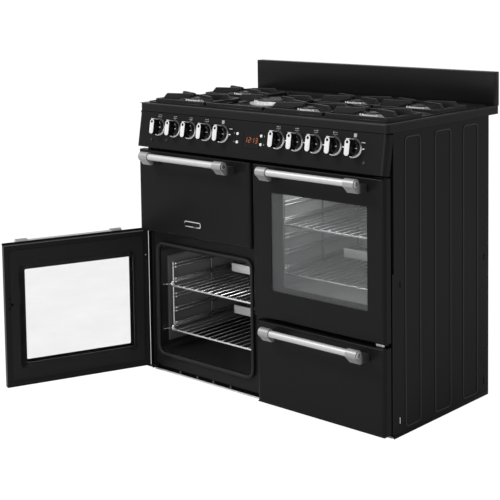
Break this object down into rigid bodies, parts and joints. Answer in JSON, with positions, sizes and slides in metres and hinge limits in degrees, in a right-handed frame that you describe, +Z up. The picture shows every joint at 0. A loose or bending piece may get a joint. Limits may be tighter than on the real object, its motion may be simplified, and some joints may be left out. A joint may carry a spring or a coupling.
{
  "type": "range cooker with double oven",
  "caption": "Wide black range cooker with a gas hob, a low splashback, a row of round knobs, a tall oven, a high oven, a grill and a storage drawer with bar handles.",
  "frame": {"origin": "on the floor below the middle of the hob's width, 300 mm behind the hob's front edge", "axes": "+X to the right seen from the front, +Y to the back, +Z up"},
  "size_m": [1.2185, 1.055, 1.013],
  "materials": {
    "black_enamel": "gloss",
    "hob_enamel": "gloss",
    "dark_paint": "satin",
    "galvanised": "satin",
    "oven_enamel": "gloss",
    "bright_bar": "brushed",
    "satin_bracket": "satin",
    "chrome_ring": "polished",
    "knob_plastic": "gloss",
    "white_button": "gloss",
    "display_plastic": "gloss",
    "glass": "gloss",
    "cast_iron": "satin",
    "burner_alloy": "satin",
    "cap_enamel": "satin",
    "chrome_wire": "polished",
    "seal_rubber": "matte"
  },
  "bodies": {
    "carcass": {"base_frame": "galvanised", "side_panel_left": "dark_paint", "side_panel_right": "dark_paint", "back_panel": "galvanised", "front_frame": "dark_paint", "left_oven_cavity": "oven_enamel", "right_oven_cavity": "oven_enamel", "grill_cavity": "oven_enamel", "drawer_runners": "galvanised", "control_panel": "black_enamel", "hob_tray": "hob_enamel", "splashback": "black_enamel", "knob_bezels": "chrome_ring", "clock_display": "display_plastic", "burner_crowns": "burner_alloy", "burner_caps": "cap_enamel", "pan_supports_left": "cast_iron", "wok_support": "cast_iron", "pan_supports_middle": "cast_iron", "pan_supports_right": "cast_iron", "oven_side_racks": "chrome_wire", "right_oven_shelves": "chrome_wire", "door_hinges": "galvanised", "door_seals": "seal_rubber"},
    "left_door": {"left_door_skin": "black_enamel", "left_door_glass": "glass", "left_door_liner": "oven_enamel", "left_door_inner_glass": "glass", "left_door_bar": "bright_bar", "left_door_brackets": "satin_bracket"},
    "right_door": {"right_door_skin": "black_enamel", "right_door_glass": "glass", "right_door_liner": "oven_enamel", "right_door_inner_glass": "glass", "right_door_bar": "bright_bar", "right_door_brackets": "satin_bracket"},
    "grill_door": {"grill_door_skin": "black_enamel", "grill_door_liner": "oven_enamel", "grill_door_bar": "bright_bar", "grill_door_brackets": "satin_bracket"},
    "drawer": {"drawer_front": "black_enamel", "drawer_box": "galvanised", "drawer_bar": "bright_bar", "drawer_brackets": "satin_bracket"},
    "upper_shelf": {"left_shelf_upper": "chrome_wire"},
    "lower_shelf": {"left_shelf_lower": "chrome_wire"},
    "control_knob_1": {"knob_1": "knob_plastic"},
    "control_knob_2": {"knob_2": "knob_plastic"},
    "control_knob_3": {"knob_3": "knob_plastic"},
    "control_knob_4": {"knob_4": "knob_plastic"},
    "control_knob_5": {"knob_5": "knob_plastic"},
    "control_knob_6": {"knob_6": "knob_plastic"},
    "control_knob_7": {"knob_7": "knob_plastic"},
    "control_knob_8": {"knob_8": "knob_plastic"},
    "control_knob_9": {"knob_9": "knob_plastic"},
    "control_knob_10": {"knob_10": "knob_plastic"},
    "push_button_1": {"timer_button_1": "white_button"},
    "push_button_2": {"timer_button_2": "white_button"},
    "push_button_3": {"timer_button_3": "white_button"},
    "push_button_4": {"timer_button_4": "white_button"}
  },
  "joints": [
    {"name": "left_door_hinge", "type": "hinge", "parent": "carcass", "child": "left_door", "pos_m": [-0.491, -0.299, 0.252], "axis": [0, 0, -1], "range_deg": [-111, 6]},
    {"name": "right_door_hinge", "type": "hinge", "parent": "carcass", "child": "right_door", "pos_m": [0.491, -0.299, 0.52], "axis": [0, 0, 1], "range_deg": [0, 120]},
    {"name": "grill_door_hinge", "type": "hinge", "parent": "carcass", "child": "grill_door", "pos_m": [-0.25, -0.308, 0.493], "axis": [1, 0, 0], "range_deg": [0, 90]},
    {"name": "drawer_slide", "type": "slide", "parent": "carcass", "child": "drawer", "axis": [0, -1, 0], "range_m": [0, 0.35]},
    {"name": "upper_shelf_slide", "type": "slide", "parent": "carcass", "child": "upper_shelf", "axis": [0, -1, 0], "range_m": [0, 0.3]},
    {"name": "lower_shelf_slide", "type": "slide", "parent": "carcass", "child": "lower_shelf", "axis": [0, -1, 0], "range_m": [0, 0.3]},
    {"name": "knob_1_turn", "type": "hinge", "parent": "carcass", "child": "control_knob_1", "pos_m": [-0.402, -0.30828, 0.834], "axis": [0, -0.9855, 0.1699], "range_deg": [-290, 0]},
    {"name": "knob_2_turn", "type": "hinge", "parent": "carcass", "child": "control_knob_2", "pos_m": [-0.332, -0.30828, 0.834], "axis": [0, -0.9855, 0.1699], "range_deg": [-290, 0]},
    {"name": "knob_3_turn", "type": "hinge", "parent": "carcass", "child": "control_knob_3", "pos_m": [-0.262, -0.30828, 0.834], "axis": [0, -0.9855, 0.1699], "range_deg": [0, 210]},
    {"name": "knob_4_turn", "type": "hinge", "parent": "carcass", "child": "control_knob_4", "pos_m": [-0.192, -0.30828, 0.834], "axis": [0, -0.9855, 0.1699], "range_deg": [0, 210]},
    {"name": "knob_5_turn", "type": "hinge", "parent": "carcass", "child": "control_knob_5", "pos_m": [-0.122, -0.30828, 0.834], "axis": [0, -0.9855, 0.1699], "range_deg": [0, 210]},
    {"name": "knob_6_turn", "type": "hinge", "parent": "carcass", "child": "control_knob_6", "pos_m": [0.1045, -0.30828, 0.834], "axis": [0, -0.9855, 0.1699], "range_deg": [0, 210]},
    {"name": "knob_7_turn", "type": "hinge", "parent": "carcass", "child": "control_knob_7", "pos_m": [0.1758, -0.30828, 0.834], "axis": [0, -0.9855, 0.1699], "range_deg": [0, 210]},
    {"name": "knob_8_turn", "type": "hinge", "parent": "carcass", "child": "control_knob_8", "pos_m": [0.2471, -0.30828, 0.834], "axis": [0, -0.9855, 0.1699], "range_deg": [0, 210]},
    {"name": "knob_9_turn", "type": "hinge", "parent": "carcass", "child": "control_knob_9", "pos_m": [0.3184, -0.30828, 0.834], "axis": [0, -0.9855, 0.1699], "range_deg": [0, 210]},
    {"name": "knob_10_turn", "type": "hinge", "parent": "carcass", "child": "control_knob_10", "pos_m": [0.3897, -0.30828, 0.834], "axis": [0, -0.9855, 0.1699], "range_deg": [-290, 0]},
    {"name": "button_1_press", "type": "slide", "parent": "carcass", "child": "push_button_1", "axis": [0, 0.9855, -0.1699], "range_m": [0, 0.0015], "stiffness_N_per_m": 600},
    {"name": "button_2_press", "type": "slide", "parent": "carcass", "child": "push_button_2", "axis": [0, 0.9855, -0.1699], "range_m": [0, 0.0015], "stiffness_N_per_m": 600},
    {"name": "button_3_press", "type": "slide", "parent": "carcass", "child": "push_button_3", "axis": [0, 0.9855, -0.1699], "range_m": [0, 0.0015], "stiffness_N_per_m": 600},
    {"name": "button_4_press", "type": "slide", "parent": "carcass", "child": "push_button_4", "axis": [0, 0.9855, -0.1699], "range_m": [0, 0.0015], "stiffness_N_per_m": 600}
  ]
}
